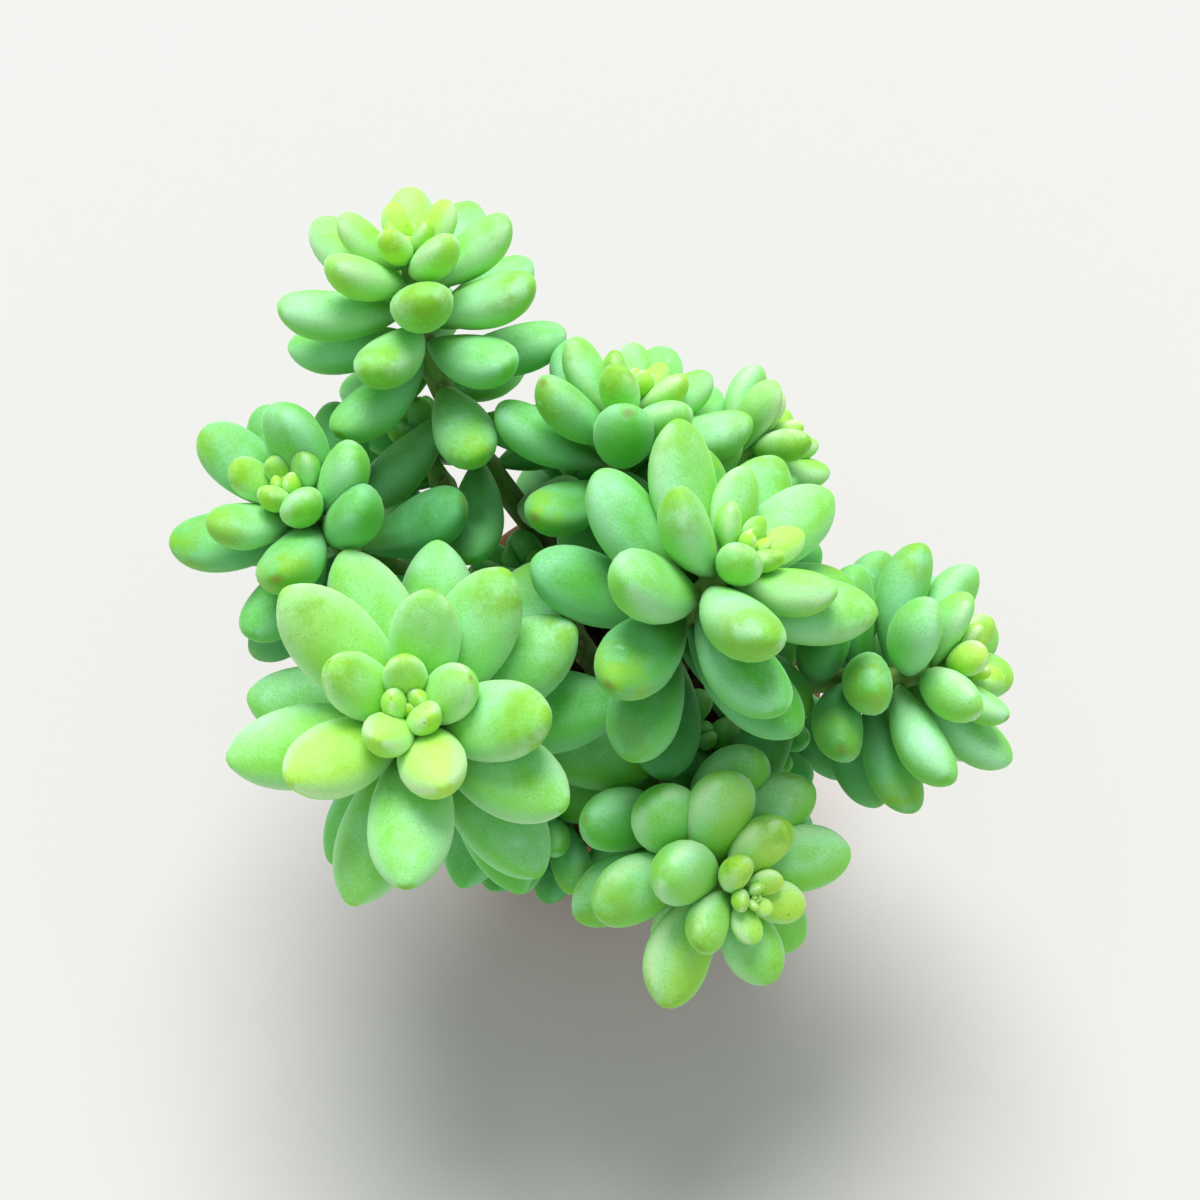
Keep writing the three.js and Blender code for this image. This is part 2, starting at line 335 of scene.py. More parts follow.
# Where on a leaf and on which leaves each effect sets in and is whole, and the shares there where
# they aren't 0 and 1. The labels are those of leafSockets.
leafRanges = {
    # the roots' painted shade is darker on old leaves
    "oldRootShade": {"age": (0.1, 0.75)},
    "root": {"share": (0.62, 0.1, 0.0, 0.8)},
    # the bloom's sky share paints it strongest where a leaf faces up: a painted highlight
    "bloom": {"age": (0.0, 0.4, 0.3, 0.82), "share": (0.15, 0.6, 0.35, 1.0), "sky": (0.1, 0.98, 0.1, 1.0)},
    "oldBloom": {"age": (0.45, 0.95)},
    # pale margins and rims: a painted rim highlight and a painted glow through the thin edge
    "marginHighlight": {"flank": (0.45, 1.0, 0.0, 0.42), "face": (-0.9, 0.2, 0.25, 1.0)},
    "rim": {"flank": (0.8, 1.0, 0.0, 0.45), "age": (0.6, 0.1)},
    "tipPatch": {"share": (0.62, 0.9), "luck": (0.35, 0.9), "age": (1.15, 0.7)},
    "tipSpot": {"share": (0.985, 1.0), "tone": (0.75, 0.95)},
    "scuff": {"share": (0.3, 0.5)},
}


# What a leaf's colours are worked out from: the place on it, from root to point, from the middle to
# the margins and from below to above, its age with its own tone in it, its tone, its luck and how
# squarely it faces the sky, which paints a highlight where it faces up.
def leafSockets(tree, finish):
    share, flank, face = addAttribute(tree, "leafPlace")
    age, tone, luck = addAttribute(tree, "leafKind")
    shift = multiply(tree, addMath(tree, "SUBTRACT", tone, 0.5), finish["toneShift"])
    return {
        "share": share,
        "flank": addMath(tree, "ABSOLUTE", flank),
        "face": face,
        "age": addMath(tree, "ADD", age, shift, clamp=True),
        "tone": tone,
        "luck": luck,
        "sky": addNode(tree, "ShaderNodeAttribute", attribute_name="leafSkyHighlight").outputs["Fac"],
    }


def makeLeafMaterial(finish, ranges):
    material, tree, shader, coordinates = newMaterial("leaf_wax")
    leaf = leafSockets(tree, finish)

    # how strongly an effect shows: the product of its own smooth steps and of other masks
    def strength(effect, *masks):
        steps = [addRange(tree, leaf[label], *span) for label, span in ranges[effect].items()]
        return multiply(tree, *masks, *steps)

    # from yellow-green in the core through mint to the deep green of the oldest leaves
    colour = addRamp(tree, leaf["age"], finish["body"])

    # towards the root the leaf is painted a stronger, yellower green, darker on old leaves: painted
    # shade deep among the crowded leaves round the stem
    root = addMix(tree, strength("oldRootShade"), finish["youngRootShade"], finish["oldRootShade"])
    colour = addMix(tree, strength("root"), colour, root)

    # wax bloom, whole on most of the leaf and rubbed off in soft patches, and painted strongest
    # where the leaf faces up, a painted highlight
    wax = addGroup(tree, clouding, coordinates, finish["bloomCloud"])
    bloom = addMix(tree, strength("oldBloom"), finish["bloom"], finish["oldBloom"])
    colour = addMix(tree, strength("bloom", wax), colour, bloom)
    bare = multiply(tree, addMath(tree, "SUBTRACT", 1.0, wax, clamp=True), finish["bareShare"])
    colour = addMix(tree, bare, colour, finish["rubbed"])

    # the margins are painted palest in the bloom's colour, most on the upper side, a painted
    # rim highlight, and on young leaves a thin pale rim is painted, a painted glow of light
    # through the thin edge
    colour = addMix(tree, strength("marginHighlight"), colour, bloom)
    colour = addMix(tree, strength("rim"), colour, finish["rim"])

    # a yellow-green patch just short of the point of some leaves, and a dry spot on a few points
    cloud = addGroup(tree, clouding, coordinates, finish["patchCloud"])
    patchy = addRange(tree, cloud, *finish["patchDepth"])
    colour = addMix(tree, strength("tipPatch", patchy), colour, finish["tipPatch"])
    colour = addMix(tree, strength("tipSpot", finish["tipSpotShare"]), colour, finish["tipSpot"])

    # small scuffs where the wax has smeared or dried in a drop, and dark specks
    smears = addRange(tree, addNoise(tree, coordinates, **finish["scuffNoise"]), *finish["scuffDepth"])
    colour = addMix(tree, strength("scuff", smears, finish["scuffShare"]), colour, finish["scuff"])
    dots = addGroup(tree, specks, coordinates, finish["specks"])
    colour = addMix(tree, multiply(tree, dots, finish["speckShare"]), colour, finish["speck"])

    # the skin under the wax is finely grained, darker in its pores
    pores = addRange(tree, addNoise(tree, coordinates, **finish["poreNoise"]), *finish["poreDepth"])
    colour = addMix(tree, pores, colour, finish["rubbed"])

    # soft dimples, with a fine waxy grain over them
    dimples = addNoise(tree, coordinates, **finish["dimpleNoise"])
    grain = addNoise(tree, coordinates, **finish["grainNoise"])
    skin = addBump(tree, grain, **finish["grain"], over=addBump(tree, dimples, **finish["dimples"]))
    matte = addMath(tree, "MULTIPLY_ADD", wax, finish["waxRoughness"], finish["roughness"])
    surface = {"Base Color": colour, "Roughness": matte, "Normal": skin}
    feed(tree, shader, {**finish["shader"], **surface})
    return material


leafMaterial = makeLeafMaterial(leafFinish, leafRanges)
print("leaf material made")

# Shoots

# foot is the stem's place on the soil, tip the growing tip's place and facing the way that the tip
# points, as a bearing from +X and a tilt from upright. leaf is a grown leaf's length, lean the
# angle to the stem of a new leaf and of an old one, turn the angle from each leaf to the next,
# swell how late the leaves fill out and broad how wide they are next to the common leaf.
shootColumns = "foot", "tip", "facing", "leaves", "leaf", "lean", "first", "turn", "swell", "broad"
shootTable = {
    "shoot_c": ((-10, -9), (-28.5, -27, 93.5), (-53, 9), 32, 24.5, (6, 90), 260, 139.5, 1, 1),
    "shoot_d": ((8, 2), (15, -8, 102.5), (34, 47), 32, 21.5, (27, 77), 147, -139.9, 1.5, 1),
    "shoot_a": ((-8, 12), (-30.5, 38, 102), (91, 31), 36, 18.5, (24, 94), 60, 138.6, 0.9, 1),
    "shoot_b": ((-14, 3), (-46, 6, 91.5), (163, 12), 34, 19.5, (5, 84), 57, 138.4, 1.1, 1),
    "shoot_e": ((1, 12), (1, 19.5, 93.5), (66, 51), 32, 18, (28, 83), 134, 137.8, 0.8, 1),
    "shoot_g": ((16, -3), (45.5, -13.5, 78), (10, 68), 30, 18.5, (35, 79), 57, -140.2, 0.9, 1),
    "shoot_h": ((6, -14), (16.5, -44.5, 70), (-32, 48), 32, 18, (35, 94), 231, -138.5, 1.5, 1.2),
    "shoot_f": ((11, 13), (19.5, 19.5, 83.5), (35, 76), 22, 14.5, (35, 80), 171, 140.9, 0.6, 1),
    "side_shoot_front": ((-5, -18), (-14, -29, 56), (-110, 35), 17, 15, (20, 88), 20, 138.5, 0.6, 1),
    "side_shoot_right": ((16, -12), (20, -17, 58), (-45, 35), 15, 13, (15, 85), 120, -138.5, 0.7, 1),
    "side_shoot_back": ((2, 20), (13, 28, 62), (60, 42), 15, 14, (15, 85), 200, 138.5, 0.9, 1),
    "side_shoot_left": ((-18, 9), (-30.5, 25, 73), (125, 30), 17, 14, (20, 88), 300, -138.5, 0.6, 1),
    "side_shoot_middle": ((-3, -3), (-14, 9, 60), (140, 25), 15, 15, (20, 88), 40, 138.5, 0.6, 1),
    "side_shoot_inner": ((1, -9), (10, -17, 60), (-60, 30), 15, 15, (20, 88), 80, -138.5, 0.6, 1),
    "side_shoot_far": ((-5, 19), (-9, 22, 67), (100, 25), 15, 14, (20, 88), 160, 138.5, 0.6, 1),
}
shoots = {name: dict(zip(shootColumns, row)) for name, row in shootTable.items()}

# rise and reach are how far the curve's middle controls stand from its ends, next to its span. The
# tube starts at top below the growing tip and is sunk in the soil. scars are the numbers on the
# spiral where leaves grow or have grown, and from evenFrom on they are evenly spaced.
stem = {
    "radius": 1.8, "tipShare": 0.3, "softLength": 9, "rise": 0.35, "reach": 0.45,
    "measures": 200, "sides": 14, "step": 0.8, "top": 0.4, "sunk": 5,
    "scars": (12, 90), "evenFrom": 34, "scarSpacing": 2.3, "scarHeight": 0.3, "scarSize": 0.85,
}
# Leaves are buds of budShare of the full length at first, grown at the number grownAt, and spread
# apart past crowdedTo. opening is the power by which they lean outwards, at most mostOpen of it.
spiral = {
    "pitch": 0.7, "crowdedTo": 20, "crowding": 0.25, "thinning": 0.15, "grownAt": 13,
    "budShare": 0.1, "opening": 0.8, "mostOpen": 1.25,
}
# Widths are shares of a leaf's length, and upper and lower shares of its half-width. A root is
# inside the stem's skin, at rootDepth of its radius, and sunk further in along the leaf.
leafShape = {
    "halfWidth": 0.25, "budHalfWidth": 0.31, "upper": 0.65, "lower": 0.95, "rootPower": 0.85,
    "pointPower": 0.52, "curl": 0.12, "curlStart": 0.35, "rootDepth": 0.55, "sunk": 0.2,
}
soilLevel = {"crown": 42, "edge": 39}


# The stem's middle line: a cubic curve that leaves the soil upright and ends along facing.
def stemControls(shoot):
    bearing, tilt = np.radians(shoot["facing"])
    facing = np.array([np.sin(tilt) * np.cos(bearing), np.sin(tilt) * np.sin(bearing), np.cos(tilt)])
    foot = np.array([*shoot["foot"], soilLevel["crown"]], float)
    tip = np.array(shoot["tip"], float)
    span = np.linalg.norm(tip - foot)
    rise = foot + np.array([0, 0, stem["rise"] * span])
    return np.stack([foot, rise, tip - facing * stem["reach"] * span, tip])


# Points of the cubic curve of four controls, at shares of the way along it.
def cubicPoints(controls, shares):
    rest = 1 - shares
    weights = [rest**3, 3 * rest**2 * shares, 3 * rest * shares**2, shares**3]
    return np.stack(weights, -1) @ controls


# Even shares of the curve, with the length of stem from the foot to each.
def stemMeasures(controls):
    shares = np.linspace(0, 1, stem["measures"] + 1)
    lengths = np.linalg.norm(np.diff(cubicPoints(controls, shares), axis=0), axis=1)
    return shares, np.concatenate([[0], np.cumsum(lengths)])


# Places on the stem at distances below the growing tip, with the directions along the stem, across
# it and over it. Past the foot the stem goes straight down.
def stemFrames(controls, below):
    steps, measured = stemMeasures(controls)
    shares = np.interp(measured[-1] - below, measured, steps)
    at = cubicPoints(controls, shares)
    at[:, 2] -= np.maximum(0, below - measured[-1])
    rest = 1 - shares
    slope = np.stack([rest**2, 2 * rest * shares, shares**2], -1) @ np.diff(controls, axis=0)
    along = unit(slope)
    across = unit(np.array([1.0, 0, 0]) - along[:, :1] * along)
    return at, along, across, np.cross(along, across)


# Thin at the growing tip, and thickening evenly over the soft length to the stem's own radius.
def stemRadius(below):
    soft = stem["tipShare"] + (1 - stem["tipShare"]) * below / stem["softLength"]
    return stem["radius"] * np.minimum(1, soft)


# How far below the growing tip leaf n of the spiral grows: pitch * (n * (n / crowdedTo)^crowding +
# thinning * (n - crowdedTo)^2), the last part only past crowdedTo.
def leafDepths(numbers):
    crowded = numbers * (numbers / spiral["crowdedTo"]) ** spiral["crowding"]
    thinned = spiral["thinning"] * np.maximum(0, numbers - spiral["crowdedTo"]) ** 2
    return spiral["pitch"] * (crowded + thinned)


# Directions turned by angles from the first towards the second: cos(a) * first + sin(a) * second.
def between(first, second, angles):
    return np.cos(angles)[..., None] * first + np.sin(angles)[..., None] * second


# Which way leaves point that turn by bearing round the stem and lean from it: outwards from the
# stem, along the leaf, and up from its upper side.
def leafDirections(stemAlong, across, over, bearing, lean):
    outwards = between(across, over, bearing)
    return outwards, between(stemAlong, outwards, lean), between(-outwards, stemAlong, lean)


# How far a leaf has filled out by its number, and a leaf's length when it has filled out that far.
def filledOut(shoot, numbers):
    filled = np.minimum(1, (numbers + 1) / spiral["grownAt"]) ** shoot["swell"]
    return filled, shoot["leaf"] * (spiral["budShare"] + (1 - spiral["budShare"]) * filled)


# Leaves as arrays: their numbers from the growing tip, roots, the ways that they point, their upper
# sides, flanks, lengths and half-widths.
def leafSet(numbers, root, along, up, length, halfWidth):
    return {
        "number": numbers,
        "root": root,
        "along": along,
        "up": up,
        "side": np.cross(up, along),
        "length": length,
        "halfWidth": halfWidth,
    }


# The leaves of a shoot by their numbers, each pushed up by the bend.
def shootLeaves(shoot, controls, numbers, bend):
    below = leafDepths(numbers)
    at, *axes = stemFrames(controls, below)
    filled, grown = filledOut(shoot, numbers)
    opened = np.minimum(spiral["mostOpen"], (numbers / spiral["crowdedTo"]) ** spiral["opening"])
    new, old = shoot["lean"]
    lean = np.radians(new + (old - new) * opened - bend)
    bearing = np.radians(shoot["first"] + shoot["turn"] * numbers)
    outwards, along, up = leafDirections(*axes, bearing, lean)
    root = at + outwards * (stemRadius(below) * leafShape["rootDepth"])[:, None]
    slimming = leafShape["halfWidth"] - leafShape["budHalfWidth"]
    halfWidth = shoot["broad"] * (leafShape["budHalfWidth"] + slimming * filled)
    sunk = leafShape["sunk"]
    return leafSet(numbers, root - along * sunk, along, up, grown + sunk, halfWidth)


# The half-width at a share t of the length: (t / w)^rootPower * ((1 - t) / (1 - w))^pointPower,
# with w the share where it is widest, so that it is 1 there.
def leafOutline(shares, rootPower, pointPower):
    widest = rootPower / (rootPower + pointPower)
    return (shares / widest) ** rootPower * ((1 - shares) / (1 - widest)) ** pointPower


# Points of each leaf's surface at shares of its length and angles round it. A section is an oval,
# flatter above than below, lifted by curl * length * t * (t - curlStart).
def leafPoints(leaves, shares, angles, rootPower, pointPower):
    def spread(vectors):
        return vectors[:, None, None, :]

    t = shares[None, :, None]
    length = leaves["length"][:, None, None]
    half = leaves["halfWidth"][:, None, None] * length * leafOutline(t, rootPower, pointPower)
    face = np.sin(angles)[None, None]
    fatness = np.where(face > 0, leafShape["upper"], leafShape["lower"])
    lift = leafShape["curl"] * length * t * (t - leafShape["curlStart"])
    height = half * face * fatness + lift
    width = half * np.cos(angles)[None, None]
    return (
        spread(leaves["root"])
        + (t * length)[..., None] * spread(leaves["along"])
        + width[..., None] * spread(leaves["side"])
        + height[..., None] * spread(leaves["up"])
    )


# Where shoots crowd each other a leaf is pushed up by one of these bends, or is missing. The packed
# solid says which: it has the corners of each leaf's coarse net at their exact places. corners is
# how many of a leaf's have to be near one of the solid's for the leaf to be there.
crowding = {"bends": (0, 12, 24, 36), "near": 0.05, "corners": 2}
coarseNet = {"shares": (0.25, 0.75), "sides": 5, "budSides": 4, "buds": 8}


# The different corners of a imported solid.
def solidCorners(name):
    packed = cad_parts[name].data.vertices
    flat = np.empty(len(packed) * 3, np.float32)
    packed.foreach_get("co", flat)
    return np.unique(np.round(flat.reshape(-1, 3) / millimetre, 3), axis=0)


# How many corners of each leaf's coarse net are among the solid's.
def cornerCount(leaves, solidPoints, sides):
    powers = leafShape["rootPower"], leafShape["pointPower"]
    angles = np.pi - anglesRound(sides)
    rings = leafPoints(leaves, np.array(coarseNet["shares"]), angles, *powers)
    tips = leafPoints(leaves, np.array([1.0]), np.array([0.0]), *powers)
    count = len(leaves["length"])
    corners = np.concatenate([rings.reshape(count, -1, 3), tips.reshape(count, -1, 3)], axis=1)
    gaps = np.linalg.norm(corners[:, :, None] - solidPoints[None, None], axis=-1).min(-1)
    return (gaps < crowding["near"]).sum(1)


# The leaves that the solid has, each with its own bend, and which of the bends that is.
def grownLeaves(shoot, controls, solidPoints):
    numbers = np.arange(shoot["leaves"], dtype=float)
    choices = [shootLeaves(shoot, controls, numbers, bend) for bend in crowding["bends"]]
    scores = []
    for leaves in choices:
        full = cornerCount(leaves, solidPoints, coarseNet["sides"])
        bud = cornerCount(leaves, solidPoints, coarseNet["budSides"])
        scores.append(np.where(numbers < coarseNet["buds"], bud, full))
    scores = np.array(scores)
    best = scores.argmax(0)
    kept = scores.max(0) >= crowding["corners"]
    chosen = {
        label: np.stack([choice[label] for choice in choices])[best, np.arange(len(numbers))]
        for label in choices[0]
    }
    return {label: values[kept] for label, values in chosen.items()}, best[kept]


# The leaf numbers between which a shoot's leaves go from the youngest colour to the oldest. The
# spans are also painted light and shade: a shorter span makes a shoot that sits in shade darker,
# a longer one makes a shoot lighter. The side shoots sit in shade under the others, and even their
# young leaves are painted dark: painted shade.
ripeningAndShade = {
    "shoot_a": (-1, 42), "shoot_b": (-1, 22), "shoot_c": (-1, 46), "shoot_d": (-1, 31),
    "shoot_e": (-1, 28), "shoot_f": (-1, 32), "shoot_g": (-1, 30), "shoot_h": (-1, 48),
}
shadeRipening = (-9, 14)
# The way up towards the light: where a leaf faces along it, its bloom is painted strongest, a painted
# highlight.
highlightDirection = unit(np.array([-0.15, 0.05, 1.0]))
# nib is how far the very point stands out, next to the leaf's length, and dome how much the ends of
# a leaf face along it.
fineNet = {
    "steps": 11, "sides": 10, "rootPower": 0.84, "pointPower": 0.46, "nib": 0.012, "levels": 1,
    "dome": 0.7,
}
# Three shoots have more pointed leaves than the rest, shoot_c the most.
pointPowers = {"shoot_c": 0.6, "shoot_d": 0.54, "shoot_h": 0.52}

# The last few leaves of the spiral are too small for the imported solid: beads round the growing tip.
# outwards is how far one stands from the middle, next to its own length.
beads = {
    "count": 3, "shrink": 0.74, "spacing": 0.35, "lean": 14, "halfWidth": 0.36, "sunk": 0.3,
    "outwards": 0.22,
}


# The spiral goes on backwards from the first leaf, and each bead is smaller by the same share.
def tipBeads(shoot, controls):
    order = np.arange(1, beads["count"] + 1, dtype=float)
    at, *axes = stemFrames(controls, np.zeros(beads["count"]))
    bearing = np.radians(shoot["first"] - shoot["turn"] * order)
    lean = np.radians(beads["lean"]) * np.ones(beads["count"])
    outwards, along, up = leafDirections(*axes, bearing, lean)
    _, first = filledOut(shoot, 0)
    length = first * beads["shrink"] ** order
    rise = (beads["spacing"] * (order - 1))[:, None] * axes[0]
    reach = outwards * (beads["outwards"] * length)[:, None]
    root = at + rise - along * beads["sunk"] + reach
    halfWidth = np.full(beads["count"], beads["halfWidth"])
    return leafSet(np.zeros(beads["count"]), root, along, up, length, halfWidth)


# How squarely each corner faces up towards the light, where the bloom is painted strongest as a
# painted highlight. A corner faces outwards from the middle of its ring, and more towards the
# nearer end of the leaf the nearer it is to that end.
def skyHighlightShares(leaves, inner, shares):
    outwards = unit(inner - inner.mean(2, keepdims=True))
    lengthwise = (shares * 2 - 1)[None, :, None, None] * leaves["along"][:, None, None]
    facing = unit(outwards + lengthwise * fineNet["dome"])
    pointwards = leaves["along"] @ highlightDirection
    ends = np.stack([-pointwards, pointwards], 1)
    return np.concatenate([facing.reshape(len(inner), -1, 3) @ highlightDirection, ends], axis=1)


# One closed net for each leaf: rings that are closest near its root and its point, and a corner at
# each end. place is where each corner is on its leaf: the share of the length, and the cosine and
# the sine of the angle round it.
def leafNets(leaves, pointPower):
    count, steps, sides = len(leaves["length"]), fineNet["steps"], fineNet["sides"]
    rings = steps - 1
    shares = (1 - np.cos(np.pi * np.arange(steps + 1) / steps)) / 2
    angles = anglesRound(sides)
    powers = fineNet["rootPower"], pointPower
    inner = leafPoints(leaves, shares[1:-1], angles, *powers)
    ends = leafPoints(leaves, shares[[0, -1]], angles[:1], *powers).reshape(count, 2, 3)
    ends[:, 1] += leaves["along"] * leaves["length"][:, None] * fineNet["nib"]
    points = np.concatenate([inner.reshape(count, -1, 3), ends], axis=1)
    turns = np.tile([np.cos(angles), np.sin(angles)], rings)
    place = np.stack([np.repeat(shares[1:-1], sides), *turns], -1)
    place = np.concatenate([place, [[0, 0, 0], [1, 0, 0]]])
    faces = closedFaces(rings, sides, count)
    return points, faces, place, skyHighlightShares(leaves, inner, shares[1:-1])


# All the leaves of a shoot in one piece, with what their colours go by on its points.
def makeLeaves(name, shoot, controls, material, seed):
    leaves, bends = grownLeaves(shoot, controls, solidCorners(name))
    small = tipBeads(shoot, controls)
    leaves = {label: np.concatenate([small[label], leaves[label]]) for label in small}
    count = len(leaves["length"])
    points, faces, place, sky = leafNets(leaves, pointPowers.get(name, fineNet["pointPower"]))
    rng = np.random.default_rng(seed)
    tone = rng.random(count)
    luck = rng.random(count)
    # age colour, which also paints shade on shoots that sit in shade
    newest, oldest = ripeningAndShade.get(name, shadeRipening)
    age = np.clip((leaves["number"] - newest) / (oldest - newest), 0, 1)
    kind = np.stack([age, tone, luck], -1)
    values = {
        "leafPlace": np.tile(place[None], (count, 1, 1)),
        "leafKind": np.repeat(kind[:, None], len(place), axis=1),
        # how squarely each corner faces up, for the bloom's painted highlight
        "leafSkyHighlight": sky.ravel(),
    }
    made = makeObject(name + "_leaves", points, faces, material, values)
    smoother = made.modifiers.new("smooth", "SUBSURF")
    smoother.levels = fineNet["levels"]
    smoother.render_levels = fineNet["levels"]
    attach(made, "root")
    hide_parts(name)
    print(name, "leaves:", count, "of", shoot["leaves"], "pushed up:", int((bends > 0).sum()))


# Stem material

stemFinish = {
    "skin": ((0.0, paint("93cf63")), (0.5, paint("7f9c56")), (0.88, paint("8c7a57"))),  # tip to foot
    "crack": paint("5c5b38"),
    "scar": paint("cdbb8e"),
    "streaks": (1.0, 1.0, 0.22),
    "cloud": {"Broad": 700.0, "Fine": 2600.0, "Low": 0.3, "High": 0.7},
    "crackShare": 0.5,
    "scarEdge": (0.1, 0.45, 0.0, 0.55),
    "scarMiddle": (0.4, 0.85, 0.0, 0.9),
    "bark": {"strength": 0.8, "distance": 0.0003},
    "shader": {
        "Roughness": 0.62,
        "Subsurface Weight": 0.1,
        "Subsurface Radius": (0.7, 1.0, 0.35),
        "Subsurface Scale": 0.001,
    },
}


def makeStemMaterial(finish):
    material, tree, shader, coordinates = newMaterial("stem_skin")
    below, scar, _ = addAttribute(tree, "stemKind")
    streaks = addStretch(tree, coordinates, finish["streaks"])
    cloud = addGroup(tree, clouding, streaks, finish["cloud"])
    colour = addRamp(tree, below, finish["skin"])
    colour = addMix(tree, multiply(tree, cloud, finish["crackShare"]), colour, finish["crack"])
    colour = addMix(tree, addRange(tree, scar, *finish["scarEdge"]), colour, finish["crack"])
    colour = addMix(tree, addRange(tree, scar, *finish["scarMiddle"]), colour, finish["scar"])
    bark = addBump(tree, cloud, **finish["bark"])
    feed(tree, shader, {**finish["shader"], "Base Color": colour, "Normal": bark})
    return material


# How much of a leaf scar is at each point of the stem: exp(-(d / scarSize)^2), with d the way over
# the skin to the nearest scar. The scars follow the spiral, also below its last leaf.
def leafScars(shoot, below, angles):
    numbers = np.arange(*stem["scars"], dtype=float)
    evenly = np.maximum(0, numbers - stem["evenFrom"]) * stem["scarSpacing"]
    depths = leafDepths(np.minimum(numbers, stem["evenFrom"])) + evenly
    bearings = np.radians(shoot["first"] + shoot["turn"] * numbers)
    turnAway = np.angle(np.exp(1j * (angles[None, :, None] - bearings[None, None])))
    alongAway = below[:, None, None] - depths[None, None]
    away = np.hypot(turnAway * stem["radius"], alongAway) / stem["scarSize"]
    return np.exp(-(away**2)).max(-1)


# A tube round the stem's line, closed at both ends, that is a little thicker at each scar.
def makeStem(name, shoot, controls, material):
    length = stemMeasures(controls)[1][-1] + stem["sunk"]
    rings, sides = int(length / stem["step"]), stem["sides"]
    below = np.linspace(stem["top"], length, rings)
    at, along, across, over = stemFrames(controls, below)
    angles = anglesRound(sides)
    scars = leafScars(shoot, below, angles)
    radius = stemRadius(below)[:, None] + stem["scarHeight"] * scars
    outwards = between(across[:, None], over[:, None], angles[None])
    points = (at[:, None] + radius[..., None] * outwards).reshape(-1, 3)
    points = np.concatenate([points, [at[0] + along[0] * stem["top"]], [at[-1]]])
    kind = np.stack([np.repeat(below / length, sides), scars.ravel(), np.zeros(rings * sides)], -1)
    values = {"stemKind": np.concatenate([kind, [[0, 0, 0], [1, 0, 0]]])}
    faces = closedFaces(rings, sides, turned=True)
    made = makeObject(name + "_stem", points, faces, material, values)
    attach(made, "root")
    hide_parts(name)


stemMaterial = makeStemMaterial(stemFinish)
for seed, (name, shoot) in enumerate(shoots.items()):
    controls = stemControls(shoot)
    makeLeaves(name, shoot, controls, leafMaterial, seed)
    makeStem(name, shoot, controls, stemMaterial)
print("shoots grown:", len(shoots))

# Pot

# The roundings go from the edge of the foot up the outside, over the rim and down the inside. A
# ripple is its rate in radians per millimetre of height, its phase and its size, and a lobe its
# waves round the pot, phase and size. Below the first height of steady there are none, and above
# the second they are whole.
pot = {
    "height": 46, "footRadius": 23, "shoulderRadius": 27.5, "rimRadius": 29.5, "rimHeight": 11,
    "wall": 2.6, "floor": 3.4, "rounding": (1.2, 0.7, 0.8, 1.25, 1.2, 0.5, 1.5), "bendSteps": 6,
    "step": 1.1, "sides": 160, "ripple": 0.09, "ripples": ((2.1, 0.7, 1), (4.7, 2.0, 0.7)),
    "roundness": 0.12, "lobes": ((2, 0.4, 1), (3, 1.9, 0.5)), "steady": (1.5, 4), "sharpAngle": 50,
}
rimFoot = pot["height"] - pot["rimHeight"]
drain = {"count": 4, "radius": 2.8, "fromMiddle": 13, "sides": 32, "past": 2}
# Heights in the ranges are metres.
clayFinish = {
    "body": paint("b8623c"),
    "pale": paint("d08a62"),
    "deep": paint("8f4527"),
    "mineral": paint("e3d3c0"),
    "grit": paint("5c3322"),
    # algae stain on the rim, also painted shade under the leaves
    "algaeAndShade": paint("4a4a2c"),
    "cloud": {"Broad": 60.0, "Fine": 700.0, "Fine Share": 0.4, "Low": 0.36, "High": 0.64},
    "stain": {"Broad": 38.0, "Fine": 1400.0, "Fine Share": 0.5, "Low": 0.5, "High": 0.66},
    "gritSpecks": {"Scale": 1100.0, "Size": 0.3, "Share": 0.3},
    "markBands": (0.05, 0.05, 1.0),
    "markNoise": {"scale": 900.0, "detail": 3.0},
    "grainNoise": {"scale": 3200.0, "detail": 4.0},
    "markDepth": (0.5, 0.72, 0.0, 0.45),
    "mineralHeight": (0.03, 0.004),
    "dampHeight": (0.0405, 0.046, 0.0, 0.85),
    "dampCloud": (0.0, 0.9, 0.7, 1.0),
    "mineralShare": 0.5,
    "gritShare": 0.45,
    "grain": {"strength": 0.35, "distance": 0.0002},
    "marks": {"strength": 0.3, "distance": 0.0003},
    "shader": {"Roughness": 0.86, "Specular IOR Level": 0.25},
}


# The inside radius at a height: it widens evenly up to the foot of the rim, and no more from there.
def potBore(height):
    share = np.minimum(1, height / rimFoot)
    return pot["footRadius"] + (pot["shoulderRadius"] - pot["footRadius"]) * share - pot["wall"]


# A line through corners, each one rounded: a quadratic curve from a little before to a little after.
def roundedLine(corners, radii, steps):
    line = [corners[0][None]]
    bend = np.linspace(0, 1, steps)[:, None]
    for before, corner, after, radius in zip(corners[:-2], corners[1:-1], corners[2:], radii):
        start = corner + unit(before - corner) * radius
        end = corner + unit(after - corner) * radius
        line.append((1 - bend) ** 2 * start + 2 * bend * (1 - bend) * corner + bend**2 * end)
    return np.concatenate(line + [corners[-1][None]])


# Points between the corners of a line, so that no step is longer than given.
def finerLine(line, step):
    lengths = np.linalg.norm(np.diff(line, axis=0), axis=1)
    counts = np.maximum(1, np.ceil(lengths / step)).astype(int)
    shares = [np.arange(count) / count for count in counts]
    spans = zip(line[:-1], line[1:], shares)
    parts = [start + share[:, None] * (end - start) for start, end, share in spans]
    return np.concatenate(parts + [line[-1:]])


# A line of [radius, height] turned round the upright axis: a ring of points for each of its points
# but the first and the last, which lie on the axis.
def turnedGrid(line, sides):
    angles = anglesRound(sides)
    radius = line[1:-1, 0][:, None]
    height = np.broadcast_to(line[1:-1, 1][:, None], (len(line) - 2, sides))
    return np.stack([radius * np.cos(angles)[None], radius * np.sin(angles)[None], height], -1)


